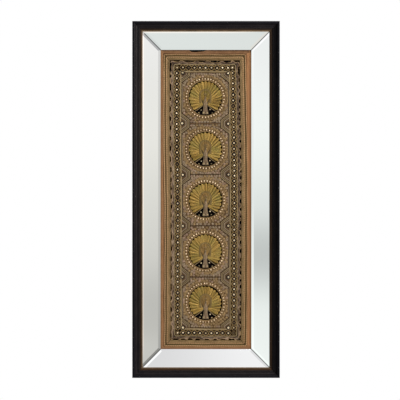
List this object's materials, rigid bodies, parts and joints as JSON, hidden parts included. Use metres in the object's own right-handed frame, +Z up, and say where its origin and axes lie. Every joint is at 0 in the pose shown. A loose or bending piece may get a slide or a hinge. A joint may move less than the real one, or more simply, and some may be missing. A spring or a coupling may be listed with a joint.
{
  "type": "embroidered wall panel in mirrored frame",
  "caption": "Long embroidered cloth with beaded peacock medallions and a sequin border, in a dark moulded frame with a sloping bevelled mirror surround.",
  "frame": {"origin": "centre of the flat back, on the face of the back board that lies against the wall", "axes": "+Z up along the panel's long side, +Y into the wall, so the embroidery faces -Y, and +X to the viewer's right"},
  "size_m": [0.558, 0.044, 1.35],
  "materials": {
    "ebonised_wood": "ebonised, satin",
    "brown_slip": "brown stained and rubbed, satin",
    "liner_wood": "planed, bare",
    "back_board": "pressed fibre board, bare",
    "mirror": "silvered glass, polished and bevelled",
    "ground_cloth": "plain woven, covered with couched cords",
    "rust_binding": "woven strip, folded",
    "gold_braid": "twisted cord in pairs",
    "tail_thread": "metal thread couched over padding",
    "body_thread": "tarnished metal thread over padding",
    "beads": "glass beads and gilt sequins, polished"
  },
  "bodies": {
    "root": {"rail_bottom": "ebonised_wood", "rail_right": "ebonised_wood", "rail_top": "ebonised_wood", "rail_left": "ebonised_wood", "slip_bottom": "brown_slip", "slip_right": "brown_slip", "slip_top": "brown_slip", "slip_left": "brown_slip", "liner_bottom": "liner_wood", "liner_right": "liner_wood", "liner_top": "liner_wood", "liner_left": "liner_wood", "mirror_bottom": "mirror", "mirror_right": "mirror", "mirror_top": "mirror", "mirror_left": "mirror", "binding_bottom": "rust_binding", "binding_right": "rust_binding", "binding_top": "rust_binding", "binding_left": "rust_binding", "braid_bottom": "gold_braid", "braid_right": "gold_braid", "braid_top": "gold_braid", "braid_left": "gold_braid", "back_board": "back_board", "ground_cloth": "ground_cloth", "peacock_tail_1": "tail_thread", "peacock_body_1": "body_thread", "bead_ring_1": "beads", "peacock_tail_2": "tail_thread", "peacock_body_2": "body_thread", "bead_ring_2": "beads", "peacock_tail_3": "tail_thread", "peacock_body_3": "body_thread", "bead_ring_3": "beads", "peacock_tail_4": "tail_thread", "peacock_body_4": "body_thread", "bead_ring_4": "beads", "peacock_tail_5": "tail_thread", "peacock_body_5": "body_thread", "bead_ring_5": "beads"}
  },
  "joints": []
}
